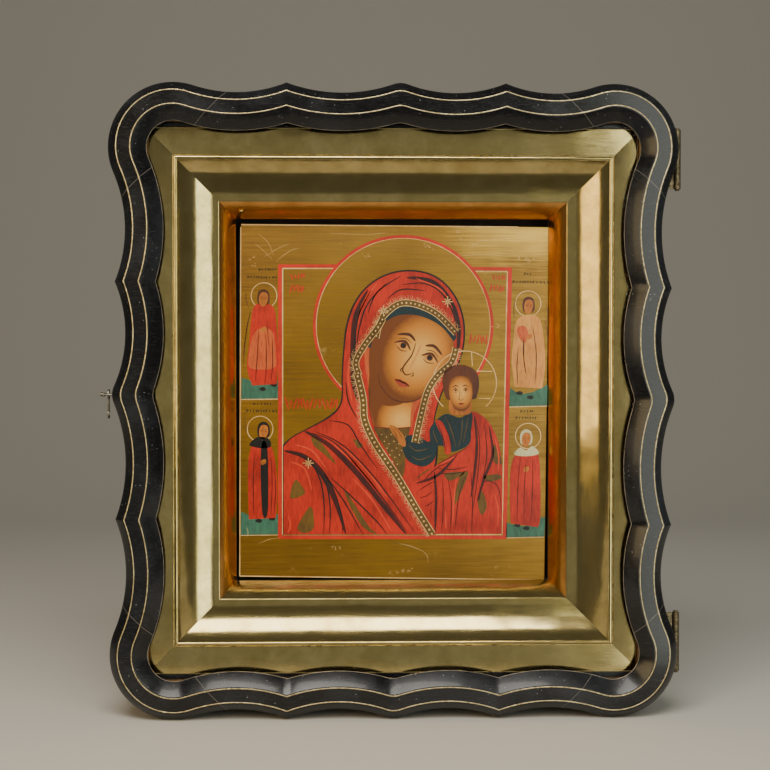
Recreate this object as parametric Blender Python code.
"""An icon panel in a black-lacquered icon case with a hinged, glazed door.

The case has a wavy outline: round lobes at its corners and three cusps on each side. It stands upright,
its door faces -Y, and the origin is at the centre of its foot. Everything is in metres.
Across the object, x and z are measured from the middle of the case. Through it, a depth is measured from
the door's front face towards the back.
"""

import math

import bmesh
import bpy
from mathutils import Matrix, Vector

MM = 0.001

# Gaps
TOUCH = 0.3 * MM            # left between two pieces that touch
DOOR_GAP = 0.5 * MM         # between the closed door and the case
MITRE_GAP = 0.2 * MM        # each piece stops this far short of a mitre

# Icon board: its gaps to the moulding's opening, (sideways, up or down), show how crooked it stands
BOARD_WIDTH = 270.5 * MM
BOARD_HEIGHT = 311.3 * MM
BOARD_THICKNESS = 27.0 * MM
BOARD_SINK = 1.0 * MM       # painted face behind the edge of the moulding
GAP_TOP_LEFT = (1.2 * MM, 3.5 * MM)
GAP_TOP_RIGHT = (2.5 * MM, 5.2 * MM)
GAP_FOOT_RIGHT = (5.5 * MM, TOUCH)
GAP_FOOT_LEFT = (3.9 * MM, 4.0 * MM)

# Brass-covered moulding, from the case wall inwards: flat, bead, cove and lip
FLAT_WIDTH = 22.8 * MM
BEAD_WIDTH = 3.8 * MM
BEAD_DEPTH = 1.5 * MM
COVE_WIDTH = 34.0 * MM
COVE_DEPTH = 17.0 * MM
COVE_END_TILT = math.radians(5.0)
LIP_WIDTH = 13.0 * MM
LIP_DEPTH = 20.5 * MM
LIP_SIDE = 4.0 * MM         # height of the moulding's side beside the board
FLAT_SINK = 1.6 * MM        # flat behind the front edge of the case

# Case
SIDE_WALL = 16.0 * MM       # thinnest, in the hollow of a wave
TOP_WALL = 28.3 * MM
SIDE_WAVE = 14.0 * MM       # height of the corner lobes above the hollows
TOP_WAVE = 8.3 * MM
LOBE_RADIUS = 55.0 * MM
CUSP_DROP = 5.3 * MM        # sharp cusps of the left and right sides, below the lobes
MIDDLE_DROP = 2.8 * MM      # soft middle cusps of the left and right sides, below the lobes
MIDDLE_RADIUS = 18.0 * MM
BACK_THICKNESS = 8.0 * MM
BACK_REBATE = 6.0 * MM

# Places of the three cusps on each side, hand cut and so a little uneven
TOP_CUSPS = (-91.0 * MM, 5.0 * MM, 94.0 * MM)
RIGHT_CUSPS = (96.0 * MM, 1.5 * MM, -105.0 * MM)
FOOT_CUSPS = (88.0 * MM, -1.0 * MM, -91.0 * MM)
LEFT_CUSPS = (-99.0 * MM, 6.0 * MM, 101.0 * MM)

# Door
DOOR_THICKNESS = 18.0 * MM
DOOR_INSET = 0.5 * MM       # door's edge inside the case's edge
CANT_WIDTH = 6.5 * MM
CANT_DEPTH = 8.0 * MM
ARRIS = 0.3 * MM            # wood left between a line's groove and the edge beside it
LINE_WIDTH = 1.4 * MM
LINE_DEPTH = 1.2 * MM
RIM_WIDTH = 9.7 * MM
INNER_CANT_WIDTH = 11.4 * MM
INNER_CANT_DEPTH = 10.0 * MM
CORNER_BLOCK = 77.0 * MM    # from the corner of the outline's box to the joint, along the diagonal
GLASS_THICKNESS = 2.2 * MM
GLASS_REST = 4.5 * MM       # ledge that the pane bears on behind the lobes
BEAD_STRIP = 4.0 * MM

# Hinges
HINGE_HEIGHT = 50.0 * MM
HINGE_TO_END = 62.9 * MM    # from the middle of a hinge to the top or the foot of the case
HINGE_OUT = 0.4 * MM        # axis outside the widest part of the case
KNUCKLE_RADIUS = 3.0 * MM
KNUCKLE_GAP = 0.4 * MM
KNUCKLE_NOTCH = 0.6 * MM    # room in the wood around the knuckles
MIDDLE_KNUCKLE = 16.2 * MM
LEAF_WIDTH = 15.0 * MM      # from the axis
LEAF_THICKNESS = 1.2 * MM
PIN_RADIUS = 1.2 * MM
PIN_PLAY = 0.1 * MM
PIN_HEAD_RADIUS = 2.0 * MM
PIN_HEAD = 1.2 * MM
SCREW_RADIUS = 1.0 * MM
SCREW_HEAD_RADIUS = 2.1 * MM
SCREW_LENGTH = 9.0 * MM
SCREW_SPREAD = 34.0 * MM    # between the two screws of a leaf

# Latch on the left side
HOOK_THICKNESS = 1.4 * MM
HOOK_STANDOFF = 5.2 * MM    # middle of the hook outside the middle cusp
HOOK_EYE = 4.2 * MM
HOOK_SHANK = 3.4 * MM
HOOK_NOSE = 3.8 * MM
CATCH_REACH = 17.0 * MM     # from the hook's screw to the catch pin
PIVOT_DEPTH = 10.0 * MM     # behind the front edge of the case
PIVOT_RADIUS = 1.1 * MM
PIVOT_HEAD_RADIUS = 1.9 * MM
PIVOT_HEAD = 1.6 * MM
PIVOT_REACH = 12.1 * MM     # end of the screw outside the middle cusp
CATCH_RADIUS = 1.0 * MM
CATCH_HEAD_RADIUS = 1.9 * MM
CATCH_HEAD = 1.2 * MM
PIN_BITE = 12.0 * MM        # length of the screw and of the catch pin in the wood
HOOK_PLAY = 0.4 * MM

# Segments of the arcs
VALLEY_STEPS = 5
LOBE_STEPS = 8
MIDDLE_STEPS = 3
COVE_STEPS = 6
KNUCKLE_SIDES = 16
SCREW_SIDES = 10

# Worked out across the object, from the board outwards
OPENING_X = (BOARD_WIDTH + GAP_TOP_LEFT[0] + GAP_TOP_RIGHT[0]) / 2
OPENING_Z = (BOARD_HEIGHT + GAP_TOP_RIGHT[1] + GAP_FOOT_RIGHT[1]) / 2
MOULDING_WIDTH = FLAT_WIDTH + BEAD_WIDTH + COVE_WIDTH + LIP_WIDTH
CAVITY_X = OPENING_X + MOULDING_WIDTH + TOUCH
CAVITY_Z = OPENING_Z + MOULDING_WIDTH + TOUCH
HALF_WIDTH = CAVITY_X + SIDE_WALL + SIDE_WAVE
HALF_HEIGHT = CAVITY_Z + TOP_WALL + TOP_WAVE
REBATE_X = CAVITY_X + BACK_REBATE
REBATE_Z = CAVITY_Z + BACK_REBATE

# Worked out through the object, from the front to the back
CASE_FRONT = DOOR_THICKNESS + DOOR_GAP
FLAT_FACE = CASE_FRONT + FLAT_SINK
LIP_EDGE = FLAT_FACE + BEAD_DEPTH + COVE_DEPTH + LIP_DEPTH
BOARD_FACE = LIP_EDGE + BOARD_SINK
BACK_FACE = BOARD_FACE + BOARD_THICKNESS + TOUCH
CASE_BACK = BACK_FACE + BACK_THICKNESS

# Worked out for the door, as distances inwards from the case's outline
LINE_GROOVE = LINE_WIDTH + 2 * TOUCH
OUTER_GROOVE = DOOR_INSET + CANT_WIDTH + ARRIS
INNER_GROOVE = OUTER_GROOVE + LINE_GROOVE + RIM_WIDTH
INNER_EDGE = INNER_GROOVE + LINE_GROOVE + ARRIS
SIGHT = INNER_EDGE + INNER_CANT_WIDTH
PANE_X = HALF_WIDTH - SIGHT + GLASS_REST
PANE_Z = HALF_HEIGHT - SIGHT + GLASS_REST
BLOCK_SUM = HALF_WIDTH + HALF_HEIGHT - CORNER_BLOCK * math.sqrt(2.0)

# Worked out for the hinges and the latch
HINGE_X = HALF_WIDTH + HINGE_OUT
HINGE_RISE = HALF_HEIGHT - HINGE_TO_END
HINGE_DEPTH = DOOR_THICKNESS + DOOR_GAP / 2
CUSP_X = -(HALF_WIDTH - MIDDLE_DROP)
HOOK_X = CUSP_X - HOOK_STANDOFF
HOOK_Z = LEFT_CUSPS[1]
HOOK_DEPTH = CASE_FRONT + PIVOT_DEPTH
PIVOT_END = CUSP_X - PIVOT_REACH
HOLE_PLAY = TOUCH

# The origin is in the middle of the whole width, from the end of the latch's screw to the hinge's knuckles
MIDDLE_X = -(PIVOT_END + HINGE_X + KNUCKLE_RADIUS) / 2


def clear_scene():
    """Remove every object that the file starts with."""
    for obj in list(bpy.data.objects):
        bpy.data.objects.remove(obj, do_unlink=True)


def finish(name, colour, roughness, metallic=0.0, transmission=0.0):
    """Make a plain material from a colour, a roughness and a metallic value."""
    material = bpy.data.materials.new(name)
    material.use_nodes = True
    shader = material.node_tree.nodes["Principled BSDF"]
    shader.inputs["Base Color"].default_value = (*colour, 1.0)
    shader.inputs["Roughness"].default_value = roughness
    shader.inputs["Metallic"].default_value = metallic
    shader.inputs["Transmission Weight"].default_value = transmission
    material.diffuse_color = (*colour, 1.0)
    return material


def at(x, depth, z):
    """Turn a place on the object into a place in the scene."""
    return Vector((x + MIDDLE_X, depth - CASE_BACK / 2, z + HALF_HEIGHT))


def new_object(name, mesh_data, material, smooth=False):
    """Turn a bmesh into an object of the scene, with its faces pointing out."""
    bmesh.ops.recalc_face_normals(mesh_data, faces=mesh_data.faces)
    mesh = bpy.data.meshes.new(name)
    mesh_data.to_mesh(mesh)
    mesh_data.free()
    if smooth:
        mesh.shade_smooth()
        mesh.set_sharp_from_angle(angle=math.radians(40.0))
    obj = bpy.data.objects.new(name, mesh)
    if material is not None:
        mesh.materials.append(material)
    bpy.context.scene.collection.objects.link(obj)
    return obj


def loft(bm, loops, closed=False):
    """Join loops of places that have the same count, and cap the ends where the loft isn't closed."""
    rows = [[bm.verts.new(place) for place in loop] for loop in loops]
    count = len(rows[0])
    pairs = list(zip(rows, rows[1:]))
    if closed:
        pairs.append((rows[-1], rows[0]))
    for first, second in pairs:
        for i in range(count):
            j = (i + 1) % count
            bm.faces.new((first[i], first[j], second[j], second[i]))
    if not closed:
        bm.faces.new(rows[0])
        bm.faces.new(rows[-1])


def cutter(name, bm):
    """Make a guide solid that only cuts other pieces."""
    obj = new_object(name, bm, None)
    obj.hide_render = True
    obj.display_type = "WIRE"
    return obj


def flat_cutter(name, outline_points, front, back):
    """Make a cutter from an outline of (x, z) places, between two depths."""
    bm = bmesh.new()
    loft(bm, [[at(x, depth, z) for x, z in outline_points] for depth in (front, back)])
    return cutter(name, bm)


def box_points(low_x, low_z, high_x, high_z):
    """Corners of a rectangle as (x, z) places."""
    return [(low_x, low_z), (low_x, high_z), (high_x, high_z), (high_x, low_z)]


def circle(radius, sides):
    """Places around a circle, as pairs."""
    steps = [2 * math.pi * (i + 0.5) / sides for i in range(sides)]
    return [(radius * math.cos(step), radius * math.sin(step)) for step in steps]


def turned(bm, profile, sides, turn, place):
    """Add a solid turned around its own +Z, from (radius, height) pairs, then turn it and put it in place."""
    start = len(bm.verts)
    loops = [[Vector((x, y, height)) for x, y in circle(radius, sides)] for radius, height in profile]
    loft(bm, loops)
    bm.verts.ensure_lookup_table()
    bmesh.ops.transform(bm, matrix=Matrix.Translation(place) @ turn, verts=bm.verts[start:])


def combine(obj, other, operation):
    """Add an exact Boolean of one object with another."""
    modifier = obj.modifiers.new(operation.title(), "BOOLEAN")
    modifier.operation = operation
    modifier.solver = "EXACT"
    modifier.object = other


class Outline:
    """The wavy outline: hollows of large radius between corner lobes and cusps.

    Each side is worked out lying flat: s runs along it, clockwise, and h is the height above the middle of
    the case. A hollow is an arc whose centre stays put, so a line that runs parallel has the same centres.
    """

    def __init__(self):
        top = (TOP_CUSPS, TOP_WAVE, 0.0, 0.0, HALF_WIDTH, HALF_HEIGHT)
        right = ([-z for z in RIGHT_CUSPS], SIDE_WAVE, CUSP_DROP, MIDDLE_DROP, HALF_HEIGHT, HALF_WIDTH)
        foot = ([-x for x in FOOT_CUSPS], TOP_WAVE, 0.0, 0.0, HALF_WIDTH, HALF_HEIGHT)
        left = (LEFT_CUSPS, SIDE_WAVE, CUSP_DROP, MIDDLE_DROP, HALF_HEIGHT, HALF_WIDTH)
        turns = (
            lambda s, h: Vector((s, h)),
            lambda s, h: Vector((h, -s)),
            lambda s, h: Vector((-s, -h)),
            lambda s, h: Vector((-h, s)),
        )
        self.hollows = []
        self.peaks = []
        for side, turn in zip((top, right, foot, left), turns):
            self.add_side(*side, turn)

    def add_side(self, cusps, wave, cusp_drop, middle_drop, half_length, half_height, turn):
        """Work out the four hollows of one side, and the lobe and cusps that come before them."""
        lobe = half_length - LOBE_RADIUS
        floor = half_height - wave
        peaks = [(-lobe, wave, LOBE_RADIUS)]
        for place, drop, radius in zip(cusps, (cusp_drop, middle_drop, cusp_drop), (0.0, MIDDLE_RADIUS, 0.0)):
            peaks.append((place, wave - drop, radius))
        peaks.append((lobe, wave, LOBE_RADIUS))
        for before, after in zip(peaks, peaks[1:]):
            radius = hollow_radius(before, after)
            centre = turn(before[0] + reach(before, radius), floor + radius)
            if before is peaks[0]:
                self.peaks.append(("lobe", turn(-lobe, half_height - LOBE_RADIUS)))
            else:
                self.peaks.append(("cusp", before[2]))
            self.hollows.append((centre, radius))

    def points(self, inset):
        """Places (x, z) of the line that runs a given distance inside the outline, clockwise."""
        arcs = []
        for i, (kind, value) in enumerate(self.peaks):
            before, before_radius = self.hollows[i - 1]
            after, after_radius = self.hollows[i]
            if kind == "lobe":
                centre, radius, steps = value, LOBE_RADIUS - inset, LOBE_STEPS
            else:
                radius, steps = value, MIDDLE_STEPS if value else 0
                grow = inset + radius
                centre = crossing(before, before_radius + grow, after, after_radius + grow)
            start = centre + (before - centre).normalized() * radius
            end = centre + (after - centre).normalized() * radius
            arcs.append((start, arc(centre, start, end, steps) if steps else [start], end))
        line = []
        for i, (start, peak, end) in enumerate(arcs):
            line.extend(peak)
            hollow = self.hollows[i][0]
            next_start = arcs[(i + 1) % len(arcs)][0]
            line.extend(arc(hollow, end, next_start, VALLEY_STEPS)[1:-1])
        return [(point.x, point.y) for point in line]


def reach(peak, radius):
    """Distance along the side from a peak's middle to the lowest point of the hollow beside it."""
    height, peak_radius = peak[1], peak[2]
    return math.sqrt(2 * height * (radius + peak_radius) - height * height)


def hollow_radius(before, after):
    """Radius of the hollow that joins two peaks and just reaches the floor of the wave."""
    low = max(before[1], after[1])
    high = 100.0
    span = after[0] - before[0]
    for _ in range(80):
        middle = (low + high) / 2
        if reach(before, middle) + reach(after, middle) < span:
            low = middle
        else:
            high = middle
    return (low + high) / 2


def crossing(first, first_radius, second, second_radius):
    """Where two circles cross, on the side of the middle of the case."""
    across = second - first
    distance = across.length
    along = (distance ** 2 + first_radius ** 2 - second_radius ** 2) / (2 * distance)
    rise = math.sqrt(first_radius ** 2 - along ** 2)
    foot = first + across.normalized() * along
    side = Vector((across.y, -across.x)).normalized() * rise
    return min(foot + side, foot - side, key=lambda place: place.length)


def arc(centre, start, end, steps):
    """Places along the shorter arc around a centre, both ends included."""
    first = start - centre
    last = end - centre
    turn = math.atan2(first.x * last.y - first.y * last.x, first.dot(last))
    places = []
    for i in range(steps + 1):
        angle = turn * i / steps
        cosine, sine = math.cos(angle), math.sin(angle)
        offset = Vector((first.x * cosine - first.y * sine, first.x * sine + first.y * cosine))
        places.append(centre + offset)
    return places


def ring(bm, outline, section):
    """Sweep a closed section of (inset, depth) pairs around the wavy outline."""
    loft(bm, [[at(x, depth, z) for x, z in outline.points(inset)] for inset, depth in section], closed=True)


def wedge(centre_a, centre_b, reach_out, quarter, gap):
    """Region of one side between two diagonals that start on the middle line of the object."""
    points = [
        (centre_a[0], centre_a[1] + gap),
        (centre_a[0] - reach_out, centre_a[1] + gap + reach_out),
        (centre_b[0] + reach_out, centre_b[1] + gap + reach_out),
        (centre_b[0], centre_b[1] + gap),
    ]
    if centre_a == centre_b:
        points.pop()
    for _ in range(quarter):
        points = [(z, -x) for x, z in points]
    return points


def build_case(outline, lacquer, plain_wood):
    """Make the four mitred boards of the case and the panel that closes its back."""
    far = HALF_WIDTH + HALF_HEIGHT
    difference = CAVITY_Z - CAVITY_X
    gap = MITRE_GAP * math.sqrt(2.0)
    cavity = flat_cutter("cut_cavity", box_points(-CAVITY_X, -CAVITY_Z, CAVITY_X, CAVITY_Z), 0.0, 2 * CASE_BACK)
    rebate_front = BACK_FACE - TOUCH
    rebate = flat_cutter("cut_rebate", box_points(-REBATE_X, -REBATE_Z, REBATE_X, REBATE_Z),
                         rebate_front, 2 * CASE_BACK)
    upper = (0.0, difference)
    lower = (0.0, -difference)
    wedges = {
        "case_top": wedge(upper, upper, far, 0, gap),
        "case_right": wedge((-difference, 0.0), (difference, 0.0), far, 1, gap),
        "case_bottom": wedge(upper, upper, far, 2, gap),
        "case_left": wedge((-difference, 0.0), (difference, 0.0), far, 3, gap),
    }
    boards = {}
    for name, region in wedges.items():
        bm = bmesh.new()
        loft(bm, [[at(x, depth, z) for x, z in outline.points(0.0)] for depth in (CASE_FRONT, CASE_BACK)])
        board = new_object(name, bm, lacquer)
        combine(board, flat_cutter("cut_" + name, region, 0.0, 2 * CASE_BACK), "INTERSECT")
        combine(board, cavity, "DIFFERENCE")
        combine(board, rebate, "DIFFERENCE")
        boards[name] = board
    bm = bmesh.new()
    panel = box_points(TOUCH - REBATE_X, TOUCH - REBATE_Z, REBATE_X - TOUCH, REBATE_Z - TOUCH)
    loft(bm, [[at(x, depth, z) for x, z in panel] for depth in (BACK_FACE, CASE_BACK)])
    new_object("back_board", bm, plain_wood)
    return boards


def moulding_profile():
    """Section of the moulding as (distance from the case wall, depth) pairs."""
    start = FLAT_WIDTH + BEAD_WIDTH
    start_depth = FLAT_FACE + BEAD_DEPTH
    steep = 2 * math.atan2(COVE_DEPTH, COVE_WIDTH) - COVE_END_TILT
    radius = COVE_WIDTH / (math.sin(steep) - math.sin(COVE_END_TILT))
    profile = [
        (0.0, FLAT_FACE),
        (FLAT_WIDTH, FLAT_FACE),
        (FLAT_WIDTH + BEAD_WIDTH / 8, FLAT_FACE + BEAD_DEPTH * 2 / 3),
        (FLAT_WIDTH + BEAD_WIDTH / 2, FLAT_FACE + BEAD_DEPTH / 3),
    ]
    for i in range(COVE_STEPS + 1):
        tilt = steep + (COVE_END_TILT - steep) * i / COVE_STEPS
        across = start + radius * (math.sin(steep) - math.sin(tilt))
        profile.append((across, start_depth + radius * (math.cos(tilt) - math.cos(steep))))
    profile.append((MOULDING_WIDTH, LIP_EDGE))
    profile.append((MOULDING_WIDTH, LIP_EDGE + LIP_SIDE))
    profile.append((0.0, LIP_EDGE + LIP_SIDE))
    return profile


def build_mouldings(brass):
    """Make the four brass-covered mouldings, mitred at the corners."""
    profile = moulding_profile()
    edge_x = CAVITY_X - TOUCH
    edge_z = CAVITY_Z - TOUCH
    for name, half_length, half_height, quarter in (
        ("moulding_top", edge_x, edge_z, 0),
        ("moulding_right", edge_z, edge_x, 1),
        ("moulding_bottom", edge_x, edge_z, 2),
        ("moulding_left", edge_z, edge_x, 3),
    ):
        loops = []
        for sign in (-1, 1):
            loop = []
            for across, depth in profile:
                x, z = sign * (half_length - across - MITRE_GAP), half_height - across
                for _ in range(quarter):
                    x, z = z, -x
                loop.append(at(x, depth, z))
            loops.append(loop)
        bm = bmesh.new()
        loft(bm, loops)
        new_object(name, bm, brass, smooth=True)


def build_board(painted):
    """Make the icon board, a little out of square, standing on the moulding at its right foot."""
    corners = [
        (-OPENING_X + GAP_TOP_LEFT[0], OPENING_Z - GAP_TOP_LEFT[1]),
        (OPENING_X - GAP_TOP_RIGHT[0], OPENING_Z - GAP_TOP_RIGHT[1]),
        (OPENING_X - GAP_FOOT_RIGHT[0], -OPENING_Z + GAP_FOOT_RIGHT[1]),
        (-OPENING_X + GAP_FOOT_LEFT[0], -OPENING_Z + GAP_FOOT_LEFT[1]),
    ]
    bm = bmesh.new()
    loft(bm, [[at(x, depth, z) for x, z in corners] for depth in (BOARD_FACE, BOARD_FACE + BOARD_THICKNESS)])
    new_object("icon_board", bm, painted)


def door_section():
    """Section of the door's frame as (inset, depth) pairs, with a groove for each inlaid line."""
    groove = LINE_DEPTH + TOUCH
    section = [(DOOR_INSET, DOOR_THICKNESS), (DOOR_INSET, CANT_DEPTH), (DOOR_INSET + CANT_WIDTH, 0.0)]
    for start in (OUTER_GROOVE, INNER_GROOVE):
        end = start + LINE_GROOVE
        section.extend([(start, 0.0), (start, groove), (end, groove), (end, 0.0)])
    section.extend([(INNER_EDGE, 0.0), (SIGHT, INNER_CANT_DEPTH), (SIGHT, DOOR_THICKNESS)])
    return section


def door_regions():
    """Regions of the four rails and the four corner blocks, parted along straight 45 degree joints."""
    high = HALF_HEIGHT + CORNER_BLOCK
    wide = HALF_WIDTH + CORNER_BLOCK
    gap = MITRE_GAP * math.sqrt(2.0)
    inner = BLOCK_SUM - gap
    outer = BLOCK_SUM + gap
    taller = HALF_HEIGHT - HALF_WIDTH
    start_x = max(-taller, 0.0)
    start_z = max(taller, 0.0)
    meet_x = (inner - taller) / 2
    meet_z = (inner + taller) / 2
    regions = {}
    for name, sign in (("top", 1), ("bottom", -1)):
        regions["door_rail_" + name] = [
            (-start_x, sign * start_z), (-meet_x, sign * meet_z), (high - inner, sign * high),
            (inner - high, sign * high), (meet_x, sign * meet_z), (start_x, sign * start_z),
        ]
    for name, sign in (("left", -1), ("right", 1)):
        regions["door_rail_" + name] = [
            (sign * start_x, -start_z), (sign * meet_x, -meet_z), (sign * wide, wide - inner),
            (sign * wide, inner - wide), (sign * meet_x, meet_z), (sign * start_x, start_z),
        ]
    for up, rise in (("top", 1), ("bottom", -1)):
        for side, run in (("left", -1), ("right", 1)):
            regions["door_corner_" + up + "_" + side] = [
                (run * (outer - high), rise * high), (run * wide, rise * high), (run * wide, rise * (outer - wide)),
            ]
    return regions


def build_door(outline, lacquer, brass, glass, plain_wood):
    """Make the door's rails, corner blocks, inlaid lines, pane and the beads that hold the pane."""
    behind = 2 * DOOR_THICKNESS
    seat = flat_cutter("cut_pane_seat", box_points(-PANE_X, -PANE_Z, PANE_X, PANE_Z), INNER_CANT_DEPTH, behind)
    pieces = {}
    for name, region in door_regions().items():
        bm = bmesh.new()
        ring(bm, outline, door_section())
        piece = new_object(name, bm, lacquer)
        combine(piece, flat_cutter("cut_" + name, order(region), -behind, behind), "INTERSECT")
        combine(piece, seat, "DIFFERENCE")
        pieces[name] = piece
    for name, start in (("brass_line_outer", OUTER_GROOVE), ("brass_line_inner", INNER_GROOVE)):
        low = start + TOUCH
        high = low + LINE_WIDTH
        bm = bmesh.new()
        ring(bm, outline, [(low, LINE_DEPTH), (low, 0.0), (high, 0.0), (high, LINE_DEPTH)])
        new_object(name, bm, brass)
    pane_front = INNER_CANT_DEPTH + TOUCH
    pane_back = pane_front + GLASS_THICKNESS
    pane_x = PANE_X - TOUCH
    pane_z = PANE_Z - TOUCH
    bm = bmesh.new()
    pane = box_points(-pane_x, -pane_z, pane_x, pane_z)
    loft(bm, [[at(x, depth, z) for x, z in pane] for depth in (pane_front, pane_back)])
    new_object("glass_pane", bm, glass)
    for name, half_length, half_height, quarter in (
        ("glazing_bead_top", pane_x, pane_z, 0),
        ("glazing_bead_right", pane_z, pane_x, 1),
        ("glazing_bead_bottom", pane_x, pane_z, 2),
        ("glazing_bead_left", pane_z, pane_x, 3),
    ):
        length = half_length - MITRE_GAP
        points = [
            (-length, half_height), (length, half_height),
            (length - BEAD_STRIP, half_height - BEAD_STRIP), (BEAD_STRIP - length, half_height - BEAD_STRIP),
        ]
        for _ in range(quarter):
            points = [(z, -x) for x, z in points]
        bm = bmesh.new()
        depths = (pane_back + TOUCH, DOOR_THICKNESS - TOUCH)
        loft(bm, [[at(x, depth, z) for x, z in points] for depth in depths])
        new_object(name, bm, plain_wood)
    return pieces


def order(points):
    """Put the corners of a convex region in turn around its middle, each of them once."""
    corners = set(points)
    middle_x = sum(x for x, _ in corners) / len(corners)
    middle_z = sum(z for _, z in corners) / len(corners)
    return sorted(corners, key=lambda place: math.atan2(place[1] - middle_z, place[0] - middle_x))


def add_box(bm, low, high):
    """Add a box between two (x, depth, z) corners."""
    points = box_points(low[0], low[2], high[0], high[2])
    loft(bm, [[at(x, depth, z) for x, z in points] for depth in (low[1], high[1])])


def upright(bm, radius, low, high, x, depth, sides):
    """Add an upright round bar between two heights."""
    turned(bm, [(radius, low), (radius, high)], sides, Matrix.Identity(4), at(x, depth, 0.0))


def build_hinge(name, middle, case_board, door_block, brass, steel):
    """Make one butt hinge, let into the case and the door, with its pin and screws."""
    low = middle - HINGE_HEIGHT / 2
    high = middle + HINGE_HEIGHT / 2
    split_low = middle - MIDDLE_KNUCKLE / 2
    split_high = middle + MIDDLE_KNUCKLE / 2
    notch = bmesh.new()
    upright(notch, KNUCKLE_RADIUS + KNUCKLE_NOTCH, low - PIN_HEAD - TOUCH * 2, high + PIN_HEAD + TOUCH * 2,
            HINGE_X, HINGE_DEPTH, KNUCKLE_SIDES)
    notch = cutter("cut_" + name + "_notch", notch)
    bore = bmesh.new()
    upright(bore, PIN_RADIUS + PIN_PLAY, low - PIN_HEAD, high + PIN_HEAD, HINGE_X, HINGE_DEPTH, KNUCKLE_SIDES)
    bore = cutter("cut_" + name + "_bore", bore)
    spans = {
        "case": (case_board, CASE_FRONT, 1, [(low, split_low - KNUCKLE_GAP), (split_high + KNUCKLE_GAP, high)]),
        "door": (door_block, DOOR_THICKNESS, -1, [(split_low, split_high)]),
    }
    for side, (wood, face, inward, knuckles) in spans.items():
        leaf_depths = sorted((face, face + inward * LEAF_THICKNESS))
        inner_x = HINGE_X - LEAF_WIDTH
        outer_x = HINGE_X - KNUCKLE_RADIUS - KNUCKLE_GAP
        bm = bmesh.new()
        add_box(bm, (inner_x, leaf_depths[0], low), (outer_x, leaf_depths[1], high))
        leaf = new_object(name + "_" + side + "_leaf", bm, brass)
        for i, (knuckle_low, knuckle_high) in enumerate(knuckles):
            bm = bmesh.new()
            upright(bm, KNUCKLE_RADIUS, knuckle_low, knuckle_high, HINGE_X, HINGE_DEPTH, KNUCKLE_SIDES)
            combine(leaf, cutter(f"cut_{name}_{side}_knuckle_{i}", bm), "UNION")
            bm = bmesh.new()
            add_box(bm, (outer_x - KNUCKLE_GAP, leaf_depths[0], knuckle_low), (HINGE_X, leaf_depths[1], knuckle_high))
            combine(leaf, cutter(f"cut_{name}_{side}_web_{i}", bm), "UNION")
        combine(leaf, bore, "DIFFERENCE")
        combine(wood, notch, "DIFFERENCE")
        bm = bmesh.new()
        mortise = sorted((face - inward * DOOR_GAP / 4, face + inward * (LEAF_THICKNESS + TOUCH)))
        add_box(bm, (inner_x - TOUCH, mortise[0], low - TOUCH), (HINGE_X, mortise[1], high + TOUCH))
        combine(wood, cutter(f"cut_{name}_{side}_mortise", bm), "DIFFERENCE")
        turn = Matrix.Rotation(math.radians(90.0 * inward), 4, "X")
        for i, sign in enumerate((-1, 1)):
            place = at((inner_x + outer_x) / 2, face, middle + sign * SCREW_SPREAD / 2)
            bm = bmesh.new()
            hole_profile = [(SCREW_HEAD_RADIUS + TOUCH, DOOR_GAP / 4), (SCREW_HEAD_RADIUS + TOUCH, -2 * LEAF_THICKNESS)]
            turned(bm, hole_profile, SCREW_SIDES, turn, place)
            combine(leaf, cutter(f"cut_{name}_{side}_screw_hole_{i}", bm), "DIFFERENCE")
            bm = bmesh.new()
            pilot = [(SCREW_RADIUS + TOUCH, DOOR_GAP / 4), (SCREW_RADIUS + TOUCH, -SCREW_LENGTH - TOUCH)]
            turned(bm, pilot, SCREW_SIDES, turn, place)
            combine(wood, cutter(f"cut_{name}_{side}_pilot_{i}", bm), "DIFFERENCE")
            bm = bmesh.new()
            profile = [(SCREW_HEAD_RADIUS, 0.0), (SCREW_RADIUS, -LEAF_THICKNESS), (SCREW_RADIUS, -SCREW_LENGTH)]
            turned(bm, profile, SCREW_SIDES, turn, place)
            new_object(f"{name}_{side}_screw_{i + 1}", bm, steel, smooth=True)
    bm = bmesh.new()
    profile = [
        (PIN_HEAD_RADIUS, low - TOUCH - PIN_HEAD), (PIN_HEAD_RADIUS, low - TOUCH), (PIN_RADIUS, low - TOUCH),
        (PIN_RADIUS, high + TOUCH), (PIN_HEAD_RADIUS, high + TOUCH), (PIN_HEAD_RADIUS, high + TOUCH + PIN_HEAD),
    ]
    turned(bm, profile, KNUCKLE_SIDES, Matrix.Identity(4), at(HINGE_X, HINGE_DEPTH, 0.0))
    new_object(name + "_pin", bm, brass, smooth=True)


def sideways_pin(name, radius, head_radius, head, end_x, depth, wood, brass):
    """Make a headed pin that stands out of the left side, and its hole in the wood."""
    turn = Matrix.Rotation(math.radians(-90.0), 4, "Y")
    place = at(CUSP_X, depth, HOOK_Z)
    length = CUSP_X - end_x
    profile = [(radius, -PIN_BITE), (radius, length - head), (head_radius, length - head), (head_radius * 0.9, length)]
    bm = bmesh.new()
    turned(bm, profile, KNUCKLE_SIDES, turn, place)
    new_object(name, bm, brass, smooth=True)
    bm = bmesh.new()
    turned(bm, [(radius + TOUCH, -PIN_BITE - TOUCH), (radius + TOUCH, length)], KNUCKLE_SIDES, turn, place)
    combine(wood, cutter("cut_" + name, bm), "DIFFERENCE")


def plate(bm, outline_points):
    """Add a flat piece across x from (depth, z) pairs measured from the hook's screw, one hook thick."""
    loops = []
    for side in (-0.5, 0.5):
        x = side * HOOK_THICKNESS
        loops.append([Vector((x, depth, z)) for depth, z in outline_points])
    loft(bm, loops)


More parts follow.
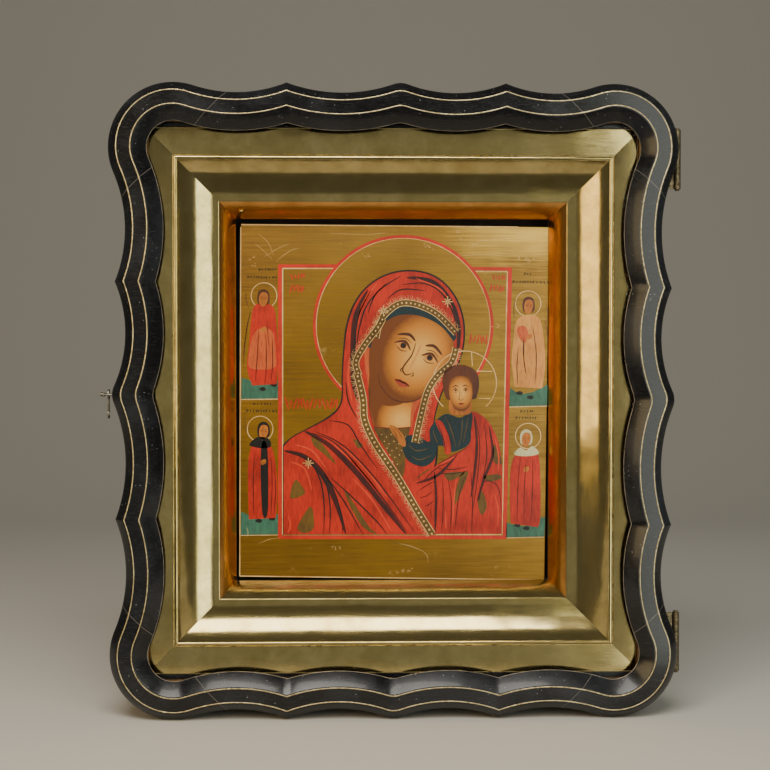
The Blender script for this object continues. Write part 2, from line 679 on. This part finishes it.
def build_latch(case_left, door_left, brass):
    """Make the hook that hangs on its screw, and the pin on the door that it drops on."""
    sideways_pin("hook_screw", PIVOT_RADIUS, PIVOT_HEAD_RADIUS, PIVOT_HEAD, PIVOT_END, HOOK_DEPTH, case_left, brass)
    catch_end = HOOK_X - HOOK_THICKNESS / 2 - HOOK_PLAY - CATCH_HEAD
    sideways_pin("catch_pin", CATCH_RADIUS, CATCH_HEAD_RADIUS, CATCH_HEAD, catch_end,
                 HOOK_DEPTH - CATCH_REACH, door_left, brass)
    pivot = at(HOOK_X, HOOK_DEPTH, HOOK_Z)
    bm = bmesh.new()
    plate(bm, circle(HOOK_EYE, KNUCKLE_SIDES))
    hook = new_object("latch_hook", bm, brass)
    hook.location = pivot
    half = HOOK_SHANK / 2
    slot = CATCH_RADIUS + HOOK_PLAY
    steps = (
        ("shank", "UNION", [(-half, 0.0), (half, 0.0), (half, -CATCH_REACH), (-half, -CATCH_REACH)]),
        ("nose", "UNION", [(y, z - CATCH_REACH) for y, z in circle(HOOK_NOSE, KNUCKLE_SIDES)]),
        ("eye", "DIFFERENCE", circle(PIVOT_RADIUS + HOOK_PLAY, KNUCKLE_SIDES)),
        ("slot_end", "DIFFERENCE", [(y, z - CATCH_REACH) for y, z in circle(slot, KNUCKLE_SIDES)]),
        ("slot", "DIFFERENCE", [
            (0.0, slot - CATCH_REACH), (2 * HOOK_NOSE, slot - CATCH_REACH),
            (2 * HOOK_NOSE, -slot - CATCH_REACH), (0.0, -slot - CATCH_REACH),
        ]),
    )
    for name, operation, points in steps:
        bm = bmesh.new()
        plate(bm, points)
        if operation == "DIFFERENCE":
            bmesh.ops.scale(bm, vec=(3.0, 1.0, 1.0), verts=bm.verts)
        tool = cutter("cut_hook_" + name, bm)
        tool.location = pivot
        combine(hook, tool, operation)
    hang(hook)


def hang(obj):
    """Turn a piece about its own X axis until its weight is straight below its origin."""
    bpy.context.view_layer.update()
    seen = obj.evaluated_get(bpy.context.evaluated_depsgraph_get())
    bm = bmesh.new()
    bm.from_mesh(seen.to_mesh())
    bmesh.ops.triangulate(bm, faces=bm.faces)
    total = 0.0
    moment = Vector((0.0, 0.0, 0.0))
    for face in bm.faces:
        a, b, c = (vert.co for vert in face.verts)
        volume = a.dot(b.cross(c)) / 6
        total += volume
        moment += volume * (a + b + c) / 4
    bm.free()
    weight = moment / total
    turn = Matrix.Rotation(-math.atan2(weight.y, -weight.z), 4, "X")
    obj.data.transform(turn)
    for modifier in obj.modifiers:
        modifier.object.data.transform(turn)


def main():
    """Build the whole object."""
    clear_scene()
    lacquer = finish("black_lacquer", (0.012, 0.011, 0.012), 0.18)
    plain_wood = finish("plain_wood", (0.19, 0.11, 0.055), 0.7)
    brass = finish("brass", (0.55, 0.43, 0.2), 0.25, metallic=1.0)
    steel = finish("steel", (0.35, 0.34, 0.33), 0.45, metallic=1.0)
    painted = finish("painted_panel", (0.6, 0.36, 0.1), 0.45)
    glass = finish("clear_glass", (0.95, 0.97, 0.96), 0.02, transmission=1.0)
    outline = Outline()
    boards = build_case(outline, lacquer, plain_wood)
    build_mouldings(brass)
    build_board(painted)
    pieces = build_door(outline, lacquer, brass, glass, plain_wood)
    build_hinge("hinge_upper", HINGE_RISE, boards["case_right"], pieces["door_corner_top_right"], brass, steel)
    build_hinge("hinge_lower", -HINGE_RISE, boards["case_right"], pieces["door_corner_bottom_right"], brass, steel)
    build_latch(boards["case_left"], pieces["door_rail_left"], brass)


main()
